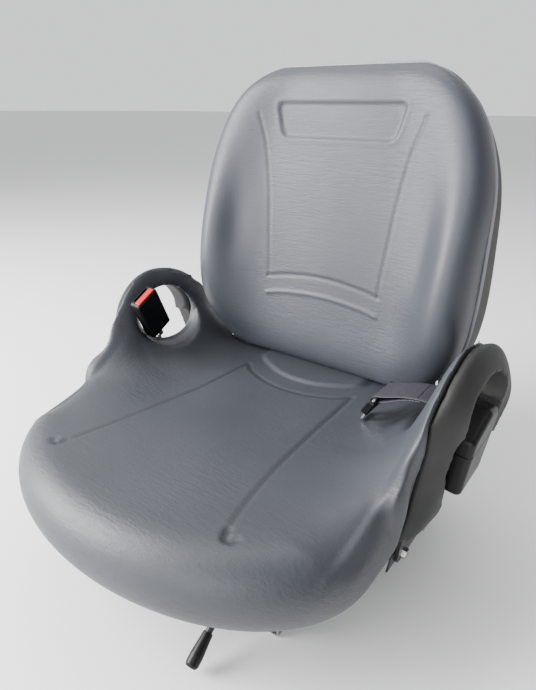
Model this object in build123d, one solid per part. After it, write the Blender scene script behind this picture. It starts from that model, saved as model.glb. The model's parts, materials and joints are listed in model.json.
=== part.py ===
from build123d import *
from math import atan, cos, degrees, radians, sin
import os

# Operator seat of a small tractor with hip wings, lap belt, slide rails and a reclining back

os.makedirs("parts", exist_ok=True)

# Slide rails. The origin is the middle of the four mounting holes, on the underside of the rails.
RAIL_SPACING = 250.0
RAIL_WIDTH = 40.0
RAIL_HEIGHT = 20.0
RAIL_SHEET = 2.5
RAIL_SLOT = 22.0
LOWER_RAIL_LENGTH = 290.0
UPPER_RAIL_LENGTH = 270.0
MOUNT_SPACING_Y = 230.0
MOUNT_HOLE_R = 4.5
HAT_WIDTH = 20.0
HAT_TOP = 32.0
FOOT_WIDTH = 32.0
FOOT_BASE = 7.0
GLIDE_LENGTH = 30.0
GLIDE_GAP = 0.3
NOTCH_COUNT = 9
NOTCH_PITCH = 15.0

# Seat pan, one pressed sheet with a trough over each rail
PAN_SHEET = 2.0
PAN_TOP = 64.0
PAN_FRONT = -165.0
PAN_REAR = 155.0
PAN_WIDE_FROM = -20.0
PAN_NOSE_HALF = 150.0
TROUGH_WIDTH = 25.0
RIM_DROP = 22.0

# Cushion
CUSHION_TOP = 183.5
ROLL_R = 43.5
ROLL_CENTRE = 139.5
CUSHION_FRONT = -285.0
CUSHION_REAR = 169.0
CUSHION_HALF = 241.0
ROLL_START = -133.0
ROLL_END = -67.0

# Hip wings. The seam between vinyl and shell lies in a plane that flares outwards.
SEAM_X = 219.0
SEAM_Z = 67.0
SEAM_FLARE = 0.11
WING_TOE = 0.1
WING_TOE_START = 43.0
SHELL_FRONT = -27.0
PIECE_GAP = 0.4
WAIST = 18.0
WINDOW_Y = 72.0
WINDOW_Z = 240.0
WINDOW_LONG = 57.0
WINDOW_HIGH = 43.0
WINDOW_TURN = -12.0
WINDOW_SWEEP = 0.53
FRAME_SHEET = 4.0

# Backrest
BACK_TILT = 6.5
BACK_Y = 140.0
BACK_Z = 190.0
BACK_HALF = 213.0
BACK_HEIGHT = 410.0
BACK_FOOT = -6.0
SEAM_DEPTH = 30.0
BOLSTER = 42.0
COVER_DEPTH = 106.0
COVER_WALL = 3.0
APRON_DROP = 52.0
BOARD_THICK = 6.0

# Recline hinge
PIVOT_Y = 199.0
PIVOT_Z = 150.0
PIVOT_R = 5.0
HINGE_X = 185.0
HINGE_SHEET = 4.0
RUN_GAP = 0.05
SIDE_GAP = 0.5

# Belt
WEB_WIDTH = 48.0
WEB_THICK = 1.4
WEB_Y = 68.0
RETRACTOR_DEPTH = 32.0
COVER_LOW = 72.0
COVER_HIGH = 168.0
SPOOL_R = 13.0
TONGUE_SHEET = 2.5
BUCKLE_WIDTH = 41.0
BUCKLE_THICK = 20.0
BUCKLE_LENGTH = 72.0
BUTTON_TRAVEL = 5.0
STALK_R = 4.0

# Slide lever
LEVER_X = 98.0
LEVER_SHEET = 4.0
LEVER_PIN_R = 4.0
LEVER_Y = -47.0
LEVER_Z = 46.0
ROD_R = 4.0


def save(name, *shapes):
    """Write one node, one or more solids."""
    solids = [s for shape in shapes for s in shape.solids()]
    export_step(solids[0] if len(solids) == 1 else Compound(children=solids), f"parts/{name}.step")


def both_sides(shape):
    """A right hand shape and its mirror image."""
    return shape, mirror(shape, about=Plane.YZ)


def bent_sheet(points, sheet, bend):
    """Cross section of a folded sheet, material to the left of the line."""
    line = FilletPolyline(*points, radius=bend)
    return make_face(line.wire().offset_2d(sheet, side=Side.LEFT).edges())


def bolt(diameter, grip, head, nut):
    """Hex bolt along Z with its head above zero, the grip below, and a nut under the grip."""
    shape = Cylinder(diameter / 2, grip + nut, align=(Align.CENTER, Align.CENTER, Align.MAX))
    hexagon = RegularPolygon(0.9 * diameter, 6)
    shape += extrude(hexagon, head)
    if nut:
        shape += Pos(0, 0, -grip) * extrude(hexagon, -nut)
    return shape


# Lower rails: C channels that bolt to the machine
rail_x = RAIL_SPACING / 2
half_rail = RAIL_WIDTH / 2
half_slot = RAIL_SLOT / 2
channel = bent_sheet(
    [
        (-half_slot, RAIL_HEIGHT),
        (-half_rail, RAIL_HEIGHT),
        (-half_rail, 0),
        (half_rail, 0),
        (half_rail, RAIL_HEIGHT),
        (half_slot, RAIL_HEIGHT),
    ],
    RAIL_SHEET,
    1.6 * RAIL_SHEET,
)
lower_rail = extrude(Plane.XZ * channel, LOWER_RAIL_LENGTH / 2, both=True)
for hole_y in (-MOUNT_SPACING_Y / 2, MOUNT_SPACING_Y / 2):
    lower_rail -= Pos(0, hole_y, 0) * Cylinder(MOUNT_HOLE_R, 4 * RAIL_SHEET)
save("lower_rail_left", Pos(-rail_x, 0, 0) * lower_rail)

# The inner lip of the right rail carries the row of lock notches
notch_x = -(half_slot + half_rail) / 2
notch = Box(half_rail - half_slot - RAIL_SHEET, NOTCH_PITCH / 2, 4 * RAIL_SHEET)
notched_rail = lower_rail
for place in GridLocations(0, NOTCH_PITCH, 1, NOTCH_COUNT):
    notched_rail -= Pos(notch_x, 0, RAIL_HEIGHT) * place * notch
save("lower_rail_right", Pos(rail_x, 0, 0) * notched_rail)

# Upper rails: hat sections that run inside the channels on nylon glides
half_hat = HAT_WIDTH / 2
half_foot = FOOT_WIDTH / 2
hat = bent_sheet(
    [
        (half_foot, FOOT_BASE + RAIL_SHEET),
        (half_hat, FOOT_BASE + RAIL_SHEET),
        (half_hat, HAT_TOP),
        (-half_hat, HAT_TOP),
        (-half_hat, FOOT_BASE + RAIL_SHEET),
        (-half_foot, FOOT_BASE + RAIL_SHEET),
    ],
    RAIL_SHEET,
    1.2 * RAIL_SHEET,
)
upper_rail = extrude(Plane.XZ * hat, UPPER_RAIL_LENGTH / 2, both=True)
rail_bolt_y = 0.33 * UPPER_RAIL_LENGTH
for hole_y in (-rail_bolt_y, rail_bolt_y):
    upper_rail -= Pos(0, hole_y, HAT_TOP) * Cylinder(4.2, 4 * RAIL_SHEET)
save("upper_rail_left", Pos(-rail_x, 0, 0) * upper_rail)
save("upper_rail_right", Pos(rail_x, 0, 0) * upper_rail)

glide_in = half_hat + 1.2 * RAIL_SHEET + GLIDE_GAP
glide_out = half_rail - RAIL_SHEET - GLIDE_GAP
glide_low = RAIL_SHEET + GLIDE_GAP
glide_high = RAIL_HEIGHT - RAIL_SHEET - GLIDE_GAP
corner = (Align.MIN, Align.CENTER, Align.MIN)
glide = Pos(glide_in, 0, glide_low) * Box(
    glide_out - glide_in, GLIDE_LENGTH, glide_high - glide_low, align=corner
)
glide = fillet(glide.edges().filter_by(Axis.X), 3)
glide = fillet(glide.edges().filter_by(Axis.Y), 1.8)
glide -= Pos(0, 0, FOOT_BASE) * Box(half_foot + RUN_GAP, 2 * GLIDE_LENGTH, RAIL_SHEET, align=corner)
glides = []
glide_y = UPPER_RAIL_LENGTH / 2 - GLIDE_LENGTH
for place in GridLocations(RAIL_SPACING, 2 * glide_y, 2, 2):
    for hand in both_sides(glide):
        glides.append(place * hand)
save("rail_glides", *glides)

# Seat pan
pan_floor = PAN_TOP - PAN_SHEET
half_trough = TROUGH_WIDTH / 2
rim_x = SEAM_X - SEAM_FLARE * (SEAM_Z - PAN_TOP)
rim_foot = rim_x - SEAM_FLARE * RIM_DROP
pan_half = [
    (rim_foot, PAN_TOP - RIM_DROP),
    (rim_x, PAN_TOP),
    (rail_x + half_trough - PAN_SHEET, PAN_TOP),
    (rail_x + half_trough - PAN_SHEET, HAT_TOP + PAN_SHEET),
    (rail_x - half_trough + PAN_SHEET, HAT_TOP + PAN_SHEET),
    (rail_x - half_trough + PAN_SHEET, PAN_TOP),
]
pan_line = pan_half + [(-x, z) for x, z in reversed(pan_half)]
pan_section = bent_sheet(pan_line, PAN_SHEET, 1.5 * PAN_SHEET)
pan_length = PAN_REAR - PAN_FRONT
seat_pan = Pos(0, PAN_FRONT, 0) * extrude(Plane.XZ * pan_section, -pan_length)
pan_corner = Polyline(
    (PAN_NOSE_HALF, PAN_FRONT - 5),
    (PAN_NOSE_HALF, PAN_WIDE_FROM - 50),
    (SEAM_X + 5, PAN_WIDE_FROM),
    (SEAM_X + 5, PAN_FRONT - 5),
    close=True,
)
for hand in both_sides(extrude(make_face(pan_corner), 2 * PAN_TOP)):
    seat_pan -= hand
bolt_spots = GridLocations(RAIL_SPACING, 2 * rail_bolt_y, 2, 2)
for place in bolt_spots:
    seat_pan -= place * Pos(0, 0, HAT_TOP) * Cylinder(4.2, 6 * PAN_SHEET)
rail_bolts = []
for place in bolt_spots:
    rail_bolts.append(place * Pos(0, 0, HAT_TOP + PAN_SHEET) * bolt(8, PAN_SHEET + RAIL_SHEET, 5.3, 6.5))
save("rail_bolts", *rail_bolts)

# Cushion: a block with a fat front roll, blended into two hip wings
flare_angle = degrees(atan(SEAM_FLARE))
front_curve = EllipticalCenterArc(
    (0, ROLL_START), CUSHION_HALF, ROLL_START - CUSHION_FRONT, start_angle=180, arc_size=180
)
rear_line = Polyline(front_curve @ 1, (CUSHION_HALF, ROLL_END), (-CUSHION_HALF, ROLL_END), front_curve @ 0)
front_face = make_face([front_curve, rear_line])
roll_low = 2 * ROLL_CENTRE - CUSHION_TOP
roll_block = extrude(Plane.XY.offset(roll_low) * front_face, CUSHION_TOP - roll_low)
roll_edges = [e for f in roll_block.faces().filter_by(Axis.Z) for e in f.edges() if e.center().Y < ROLL_END - 1]
roll_block = fillet(roll_edges, ROLL_R)

# Half sections across the seat: beside the front roll, and at full wing height
roll_section = [
    (0, -3.5), (90, -2.8), (150, -2), (180, -1.6), (200, -2.6), (212, -4.8),
    (223, -10.5), (235, -25), (239, -44), (229.5, -72), (198, -86),
]
wing_section = [
    (0, -6.5), (90, -6.0), (150, -3.5), (170, 4), (200, 32), (226, 89),
    (249, 126.5), (267, 105), (266, 31), (250, -59.5), (232, SEAM_Z - CUSHION_TOP),
]
# Side outline of the wing: station along the seat, share of the full wing height, and how far the flank
# draws in where the vinyl is tucked behind the front edge of the shell
wing_outline = [
    (ROLL_START, 0, 0), (-87, 0.18, 4), (-57, 0.34, 11), (SHELL_FRONT, 0.60, WAIST), (8, 0.88, 2), (43, 1.0, 0),
    (83, 0.99, 0), (123, 0.90, 0), (153, 0.76, 0), (179, 0.54, 0),
]
# Share of that waist at each point of a half section
waist_shape = [0, 0, 0, 0, 0, 0, 0, 0.6, 1.0, 0.65, 0]


def cross_section(station, share, waist):
    """Closed section of the cushion across the seat."""
    half = []
    for (rx, rz), (wx, wz), tuck in zip(roll_section, wing_section, waist_shape):
        x = rx + share * (wx - rx) - waist * tuck
        toe = WING_TOE * max(0, station - WING_TOE_START) * (x > SEAM_X)
        half.append((x + toe, station, CUSHION_TOP + rz + share * (wz - rz)))
    other = [(-x, y, z) for x, y, z in half[:0:-1]]
    curve = Spline(*other, *half)
    return Wire([curve.edge(), Line(half[-1], other[0]).edge()])


body = Solid.make_loft([cross_section(*station) for station in wing_outline])
wing_rear = wing_outline[-1][0]
cut_low = PAN_TOP - 5
cut_high = CUSHION_TOP + 78.5
cut_far = CUSHION_REAR + 131
rear_foot = CUSHION_REAR - 16
rear_curve = Spline(
    (wing_rear, cut_high),
    (wing_rear, CUSHION_TOP + 31.5),
    (CUSHION_REAR, CUSHION_TOP),
    (CUSHION_REAR - 8, CUSHION_TOP - 33.5),
    (rear_foot, cut_low),
)
rear_limit = Polyline(rear_curve @ 1, (cut_far, cut_low), (cut_far, cut_high), rear_curve @ 0)
rear_block = make_face([rear_curve, rear_limit])
body = Part() + body - extrude(Plane.YZ * rear_block, 1.5 * CUSHION_HALF, both=True)
plug_face = Pos(0, (PAN_FRONT + rear_foot) / 2) * RectangleRounded(
    2 * PAN_NOSE_HALF + 20, rear_foot - PAN_FRONT, 40
)
plug = extrude(Plane.XY.offset(PAN_TOP) * plug_face, ROLL_CENTRE - PAN_TOP)
body = body + roll_block + plug

# Everything outside the seam plane and behind the shell's front edge belongs to the hip shells
seam = Plane(
    (SEAM_X, 0, SEAM_Z),
    x_dir=(0, 1, 0),
    z_dir=(cos(radians(flare_angle)), 0, -sin(radians(flare_angle))),
)
zone = seam * Pos(SHELL_FRONT, -100, 0) * Box(300, 500, 120, align=(Align.MIN, Align.MIN, Align.MIN))
window_high = (WINDOW_Z - SEAM_Z) / cos(radians(flare_angle))
window_face = Pos(WINDOW_Y, window_high) * Rot(0, 0, WINDOW_TURN) * Ellipse(WINDOW_LONG, WINDOW_HIGH)
window = extrude(seam * window_face, 90, both=True)


def window_wire(depth):
    """Outline of the vinyl side of the window, swept forward as it nears the seat."""
    shift = WINDOW_SWEEP * depth
    place = Pos(WINDOW_Y - shift, window_high, -depth) * Rot(0, 0, WINDOW_TURN)
    return (seam * place * Ellipse(WINDOW_LONG + 2 + 0.4 * shift, WINDOW_HIGH + 1)).face().outer_wire()


inner_window = Part() + Solid.make_loft([window_wire(-2), window_wire(60)])
cushion = body - zone - mirror(zone, about=Plane.YZ) - inner_window - mirror(inner_window, about=Plane.YZ)
save("seat_cushion", cushion)

# Steel hip frames stand on the pan rim and carry the shells, the retractor and the buckle
rim_mid = -RIM_DROP / 2 - (SEAM_Z - PAN_TOP)
frame_line = FilletPolyline(
    (-13, -RIM_DROP - 2), (-15, 170), (3, 203), (43, 224), (98, 220), (148, 185),
    (160, 150), (145, 112), (83, 60), (83, -RIM_DROP - 2),
    radius=14, close=True,
)
frame_face = make_face(frame_line)
frame_window = Pos(WINDOW_Y, window_high) * Rot(0, 0, WINDOW_TURN) * Ellipse(WINDOW_LONG + 6, WINDOW_HIGH + 6)
hip_frame = extrude(seam * (frame_face - frame_window), FRAME_SHEET)
rim_spots = [seam * Pos(y, rim_mid, FRAME_SHEET) for y in (5, 65)]
frame_hole = Cylinder(4.2, 8 * FRAME_SHEET)
for spot in rim_spots:
    hip_frame -= spot * frame_hole
    for hand in both_sides(spot * frame_hole):
        seat_pan -= hand
frame_bolts = [spot * bolt(8, FRAME_SHEET + PAN_SHEET, 5.3, 6.5) for spot in rim_spots]
frame_bolts += [mirror(b, about=Plane.YZ) for b in frame_bolts]
save("hip_frame_bolts", *frame_bolts)
save("seat_pan", seat_pan)

# Hip shells: moulded over the frames, an arch with a long front leg and a short rear leg
leg_gap = FilletPolyline(
    (8, 160), (10, 112), (35, 62), (60, 34), (88, -10), (230, -10), (230, 86), (148, 100), (134, 160),
    radius=9, close=True,
)
shell = (body & zone) - window - extrude(seam * make_face(leg_gap), 120)
recess_line = offset(frame_face, PIECE_GAP)
shell -= extrude(seam * recess_line, FRAME_SHEET + PIECE_GAP)
for side, hand in zip(("right", "left"), both_sides(shell)):
    save(f"hip_shell_{side}", hand)

# Backrest: points by width, depth behind the front face, and height along the tilted back
back_sin = sin(radians(BACK_TILT))
back_cos = cos(radians(BACK_TILT))


def back_point(x, depth, height):
    """Point of the backrest in the seat frame."""
    y = BACK_Y + height * back_sin + depth * back_cos
    z = BACK_Z + height * back_cos - depth * back_sin
    return (x, y, z)


# Stations up the back: height, share of the width, share of the bolster, how far the face draws in
back_stations = [
    (BACK_FOOT, 0.62, 0.0, 18), (8, 0.76, 0.06, 5), (30, 0.88, 0.22, 0), (70, 0.975, 0.70, 0),
    (130, 1.0, 1.0, 0), (200, 0.995, 0.90, 0), (270, 0.975, 0.57, 0), (325, 0.90, 0.38, 0),
    (365, 0.79, 0.25, 0), (392, 0.64, 0.12, 4), (404, 0.53, 0.0, 11), (BACK_HEIGHT, 0.45, 0.0, 22),
]
bolster_shape = [(0, 0), (0.38, 0), (0.58, 0.18), (0.74, 0.72), (0.87, 1.0), (0.965, 0.72), (1.0, 0.1)]


def back_section(half, height):
    """Closed loft section from a half outline of width and depth."""
    right = [back_point(x, depth, height) for x, depth in half]
    left = [(-x, y, z) for x, y, z in right[:0:-1]]
    curve = Spline(*left, *right)
    return Wire([curve.edge(), Line(right[-1], left[0]).edge()])


front_sections = []
for height, width, bulge, draw in back_stations:
    half = [(BACK_HALF * width * x, draw - BOLSTER * bulge * out) for x, out in bolster_shape]
    front_sections.append(back_section(half + [(BACK_HALF * width, SEAM_DEPTH)], height))
back_foam = Part() + Solid.make_loft(front_sections)

# Rear cover: deep at the hips and thin at the top, a hollow moulding open at the front and foot
cover_depths = [
    (12, 0.94), (70, 1.0), (130, 0.98), (200, 0.87), (270, 0.71), (325, 0.585), (365, 0.50), (BACK_HEIGHT, 0.37),
]


def width_at(height):
    """Share of the full width at a height, straight between stations, square at the foot."""
    for (h0, w0, _, _), (h1, w1, _, _) in zip(back_stations, back_stations[1:]):
        if height <= h1:
            return max(w0 + (w1 - w0) * max(0, height - h0) / (h1 - h0), 0.9 * (height < 100))
    return back_stations[-1][1]


def cover_loft(inset):
    """Solid between the seam and the rear face, drawn in by an inset."""
    sections = []
    for (height, depth_share) in cover_depths:
        width = BACK_HALF * width_at(height) - inset
        rear = COVER_DEPTH * depth_share - inset
        front = SEAM_DEPTH - 2 * inset
        span = rear - front
        half = [(0, rear), (0.6 * width, rear), (0.9 * width, rear - 0.04 * span)]
        half += [(0.985 * width, rear - 0.17 * span), (width, rear - 0.45 * span), (width, front)]
        sections.append(back_section(half, height - inset * (height > 300)))
    return Part() + Solid.make_loft(sections)


rear_cover = cover_loft(0) - cover_loft(COVER_WALL)

# An apron below its rear face hides the gap over the cushion
apron_depth = COVER_DEPTH * cover_depths[0][1] - COVER_WALL / 4
apron_top = cover_depths[0][0] + 4
apron_plane = Plane(back_point(0, apron_depth, 0), x_dir=(1, 0, 0), z_dir=(0, -back_cos, back_sin))
apron_face = Pos(0, apron_top - APRON_DROP / 2) * RectangleRounded(1.5 * BACK_HALF, APRON_DROP, 18)
apron_face += Pos(0, apron_top - APRON_DROP / 4) * Rectangle(1.5 * BACK_HALF, APRON_DROP / 2)
rear_cover += extrude(apron_plane * apron_face, COVER_WALL)

# Board inside the cover: the foam is bonded to its face and the arms bolt to its back
edge_points = [Vector(BACK_HALF * w, h) for h, w, _, _ in back_stations]


def back_outline(grow):
    """Outline of the backrest in its seam plane, grown or shrunk along its normals."""
    right = []
    neighbours = edge_points[:1] + edge_points + edge_points[-1:]
    for before, here, after in zip(neighbours, edge_points, neighbours[2:]):
        along = after - before
        right.append(here + grow * Vector(along.Y, -along.X).normalized())
    left = [Vector(-p.X, p.Y) for p in reversed(right)]
    return make_face([Spline(*right), Line(right[-1], left[0]), Spline(*left), Line(left[-1], right[0])])


seam_back = Plane(back_point(0, SEAM_DEPTH, 0), x_dir=(1, 0, 0), z_dir=(0, -back_cos, back_sin))
board = extrude(seam_back * back_outline(-COVER_WALL - 5), -BOARD_THICK)

# Piping lies in the seam between the foam and the cover
piping_ring = back_outline(1.5) - back_outline(-2.5)
piping = extrude(seam_back * piping_ring, 2.0, both=True)
back_foam -= piping
rear_cover -= piping
rear_cover -= extrude(seam_back * back_outline(3), 60)
save("backrest_piping", piping)
save("backrest_cushion", back_foam)

# Back arms: flat steel with a flange on the board, bored for the recline bolt
arm_top = 150
arm_x = HINGE_X - SIDE_GAP - HINGE_SHEET
arm_front = SEAM_DEPTH + BOARD_THICK
arm_rear = arm_front + 30
arm_points = [
    back_point(0, arm_front, arm_top),
    back_point(0, arm_rear, arm_top),
    (0, PIVOT_Y + 20, PIVOT_Z + 30),
    (0, PIVOT_Y + 20, PIVOT_Z),
    (0, PIVOT_Y - 20, PIVOT_Z),
    back_point(0, arm_front, 14),
]
arm_face = make_face(Polyline(*[(y, z) for _, y, z in arm_points], close=True))
arm_face += Pos(PIVOT_Y, PIVOT_Z) * Circle(20)
arm_face -= Pos(PIVOT_Y, PIVOT_Z) * Circle(PIVOT_R + RUN_GAP)
arm = extrude(Plane.YZ.offset(arm_x) * arm_face, HINGE_SHEET)
board_back = Plane(back_point(0, arm_front, 0), x_dir=(1, 0, 0), z_dir=(0, back_cos, -back_sin))
flange_wide = 32
flange = Pos(arm_x - flange_wide / 2 + 1, -arm_top / 2 - 12) * RectangleRounded(flange_wide, arm_top - 24, 3)
arm += extrude(board_back * flange, HINGE_SHEET)
arm_bolt_spots = [
    board_back * Pos(arm_x - flange_wide / 2 - 2, -h, HINGE_SHEET) for h in (45, arm_top - 25)
]
for spot in arm_bolt_spots:
    arm -= spot * Cylinder(4.2, 4 * HINGE_SHEET)
    for hand in both_sides(spot * Cylinder(4.2, 4 * BOARD_THICK)):
        board -= hand
arm_bolts = [spot * bolt(8, HINGE_SHEET + BOARD_THICK, 5.3, 0) for spot in arm_bolt_spots]
arm_bolts += [mirror(b, about=Plane.YZ) for b in arm_bolts]
save("back_arm_bolts", *arm_bolts)
save("backrest_board", board)

# Cover screws run through bosses to the board
def cover_rear(height):
    """Depth of the rear face of the cover at a height."""
    for (h0, s0), (h1, s1) in zip(cover_depths, cover_depths[1:]):
        if height <= h1:
            return COVER_DEPTH * (s0 + (s1 - s0) * (height - h0) / (h1 - h0))
    return COVER_DEPTH * cover_depths[-1][1]


standing = (Align.CENTER, Align.CENTER, Align.MIN)
screw_r = 2.5
head_deep = 2.0
cover_screws = []
for screw_x, screw_h in ((-110, 115), (110, 115), (-110, 300), (110, 300)):
    boss_length = cover_rear(screw_h) - arm_front - 1
    spot = board_back * Pos(screw_x, -screw_h)
    seat_spot = spot * Pos(0, 0, boss_length - head_deep)
    rear_cover += spot * Cylinder(screw_r + 4.5, boss_length, align=standing)
    rear_cover -= spot * Cylinder(screw_r + 0.5, 3 * COVER_DEPTH)
    rear_cover -= seat_spot * Cylinder(2 * screw_r + 1.2, 20, align=standing)
    head = seat_spot * Cylinder(2 * screw_r, head_deep + 1.4, align=standing)
    cover_screws.append(head + spot * Cylinder(screw_r, boss_length, align=standing))
save("cover_screws", *cover_screws)
save("rear_cover", rear_cover)

# Hinge brackets rise from the pan behind the cushion
pawl_y = 168.0
pawl_z = 102.0
pawl_shaft_r = 5.0
bracket_low = 40.0
bracket_front = 60.0
bracket_neck = CUSHION_REAR - 9
bracket_eye = 22.0
bracket_points = [
    (bracket_front, bracket_low),
    (bracket_front, pan_floor),
    (bracket_neck, pan_floor),
    (bracket_neck, pawl_z + 14),
    (PIVOT_Y - bracket_eye, PIVOT_Z),
    (PIVOT_Y + bracket_eye, PIVOT_Z),
    (PIVOT_Y + bracket_eye, PIVOT_Z - 30),
    (PIVOT_Y - 5, bracket_low),
]
bracket_face = make_face(FilletPolyline(*bracket_points, radius=4, close=True))
bracket_face += Pos(PIVOT_Y, PIVOT_Z) * Circle(bracket_eye)
bracket_face -= Pos(PIVOT_Y, PIVOT_Z) * Circle(PIVOT_R + RUN_GAP)
hanging = (Align.CENTER, Align.CENTER, Align.MAX)
bracket_flange = Pos(HINGE_X - 12, bracket_front + 45, pan_floor) * Box(24, 90, HINGE_SHEET, align=hanging)
bracket = extrude(Plane.YZ.offset(HINGE_X) * bracket_face, HINGE_SHEET) + bracket_flange
bracket_spots = [Pos(HINGE_X - 14, y, PAN_TOP - PAN_SHEET - HINGE_SHEET) * Rot(180, 0, 0) for y in (75, 135)]
for spot in bracket_spots:
    bracket -= spot * Cylinder(4.2, 4 * HINGE_SHEET)
bracket_bolts = [spot * bolt(8, HINGE_SHEET, 5.3, 0) for spot in bracket_spots]
bracket_bolts += [mirror(b, about=Plane.YZ) for b in bracket_bolts]
save("hinge_bracket_bolts", *bracket_bolts)
save("hinge_bracket_right", bracket)
shaft_bore = Plane.YZ * Pos(pawl_y, pawl_z) * Circle(pawl_shaft_r + RUN_GAP)
save("hinge_bracket_left", mirror(bracket, about=Plane.YZ) - extrude(shaft_bore, -2 * HINGE_X))

hinge_plane = Plane((HINGE_X + HINGE_SHEET, PIVOT_Y, PIVOT_Z), x_dir=(0, 1, 0), z_dir=(1, 0, 0))
hinge_bolt = hinge_plane * bolt(2 * PIVOT_R, 2 * HINGE_SHEET + 2 * SIDE_GAP, 6.4, 8)
save("hinge_bolts", *both_sides(hinge_bolt))
save("back_arm_right", arm)

# The left arm carries a notched quadrant for the recline pawl
quadrant_r = 36.0
quadrant = Circle(quadrant_r) & Pos(0, -quadrant_r / 2 - 4) * Rectangle(2 * quadrant_r, quadrant_r)
quadrant -= Circle(PIVOT_R + RUN_GAP)
for step in range(-3, 4):
    quadrant -= Rot(0, 0, 6 * step) * Pos(0, -quadrant_r) * Rectangle(1.9, 7)
quadrant_plate = extrude(Plane.YZ.offset(-arm_x) * Pos(PIVOT_Y, PIVOT_Z) * quadrant, -HINGE_SHEET)
save("back_arm_left", mirror(arm, about=Plane.YZ) + quadrant_plate)

# Recline pawl on its shaft, with the handle outside the seat
tooth_top = PIVOT_Z - quadrant_r - 0.6
pawl_face = make_face(
    FilletPolyline(
        (pawl_y - 6, pawl_z - 7),
        (pawl_y - 6, pawl_z + 7),
        (PIVOT_Y - 6, pawl_z + 5),
        (PIVOT_Y + 5, pawl_z + 4),
        (PIVOT_Y + 5, pawl_z - 4),
        radius=2,
        close=True,
    )
)
pawl_face += Pos(pawl_y, pawl_z) * Circle(8)
pawl_face += Pos(PIVOT_Y, (tooth_top + pawl_z) / 2) * Rectangle(1.6, tooth_top - pawl_z)
pawl = extrude(Plane.YZ.offset(-arm_x) * pawl_face, -HINGE_SHEET)
handle_x = -236.0
shaft_start = -arm_x + 1
shaft_round = Plane.YZ.offset(shaft_start) * Pos(pawl_y, pawl_z) * Circle(pawl_shaft_r)
shaft = extrude(shaft_round, handle_x - 8 - shaft_start)
pawl += shaft
save("recline_pawl", pawl)
handle_face = make_hull([
    *(Pos(pawl_y, pawl_z) * Circle(12)).edges(),
    *(Pos(pawl_y - 66, pawl_z - 8) * Circle(9)).edges(),
])
handle = extrude(Plane.YZ.offset(handle_x) * handle_face, -11)
handle = fillet(handle.edges(), 3)
save("recline_handle", handle - shaft)

# Belt retractor on the right hip frame, between the legs of the shell
plate_low = 92.0
plate_high = 121.0
plate_out = FRAME_SHEET + RAIL_SHEET
spool_high = 128.0
spool_out = 22.0
ear_span = WEB_WIDTH + 10
ear_face = make_face(
    Polyline(
        (FRAME_SHEET, plate_low), (FRAME_SHEET, plate_high), (14, spool_high + 16),
        (spool_out + 10, spool_high + 16), (spool_out + 12, spool_high - 6), (18, plate_low), close=True,
    )
)
ear_face -= Pos(spool_out, spool_high) * Circle(LEVER_PIN_R)
ear_plane = Plane(seam.from_local_coords((WEB_Y, 0, 0)), x_dir=seam.z_dir, z_dir=(0, -1, 0))
retractor_frame = seam * Pos(WEB_Y, (plate_low + plate_high) / 2, FRAME_SHEET) * Box(
    ear_span, plate_high - plate_low, RAIL_SHEET, align=(Align.CENTER, Align.CENTER, Align.MIN)
)
for side in (-1, 1):
    retractor_frame += extrude(ear_plane.offset(side * ear_span / 2) * ear_face, -side * RAIL_SHEET)
anchor_spot = seam * Pos(WEB_Y, plate_low + 9, plate_out)
anchor_hole = anchor_spot * Cylinder(PIVOT_R, 8 * FRAME_SHEET)
retractor_frame -= anchor_hole
save("retractor_frame", retractor_frame)
save("retractor_bolt", anchor_spot * bolt(2 * PIVOT_R, plate_out, 6.4, 0))
spool_face = Pos(spool_out, spool_high) * Circle(SPOOL_R)
spool = extrude(ear_plane * spool_face, (ear_span - 2 * RAIL_SHEET) / 2 - 0.5, both=True)
spool += extrude(ear_plane * Pos(spool_out, spool_high) * Circle(LEVER_PIN_R), ear_span / 2 + 1, both=True)
save("retractor_spool", spool)

# Its cover is open towards the frame, and the belt leaves through that side
cover_front = WEB_Y - ear_span / 2 - 5
cover_line = FilletPolyline(
    (cover_front, COVER_LOW),
    (cover_front, spool_high + 21),
    (WEB_Y + 16, COVER_HIGH),
    (WEB_Y + 44, COVER_HIGH - 6),
    (WEB_Y + 56, spool_high + 18),
    (WEB_Y + 42, COVER_LOW),
    radius=8,
    close=True,
)
cover_face = make_face(cover_line)
cover_start = plate_out + WEB_THICK
cover = extrude(seam * Pos(0, 0, cover_start) * cover_face, RETRACTOR_DEPTH)
cover_rim = cover.faces().sort_by(Axis.X)[-1].edges()
cover = fillet(cover_rim, 7)
cover -= extrude(seam * Pos(0, 0, cover_start) * offset(cover_face, -3), RETRACTOR_DEPTH - 3.5)
slot_high = COVER_HIGH - spool_high + 10
cover -= seam * Pos(WEB_Y, spool_high + 6 + slot_high / 2, cover_start) * Box(WEB_WIDTH + 3, slot_high, 8)
parting = seam * Pos(WEB_Y, COVER_LOW + 0.6 * (spool_high - COVER_LOW) + 22, 0) * Box(200, 1.6, 200)
parting -= extrude(seam * offset(cover_face, -1.2), cover_start + RETRACTOR_DEPTH - 1.2)
cover -= parting
for post_y, post_high in ((WEB_Y - 16, COVER_LOW + 11), (WEB_Y + 35, COVER_LOW + 13)):
    post = seam * Pos(post_y, post_high, FRAME_SHEET)
    cover += post * Cylinder(5, RETRACTOR_DEPTH + 2, align=standing)
save("retractor_cover", cover)

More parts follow.
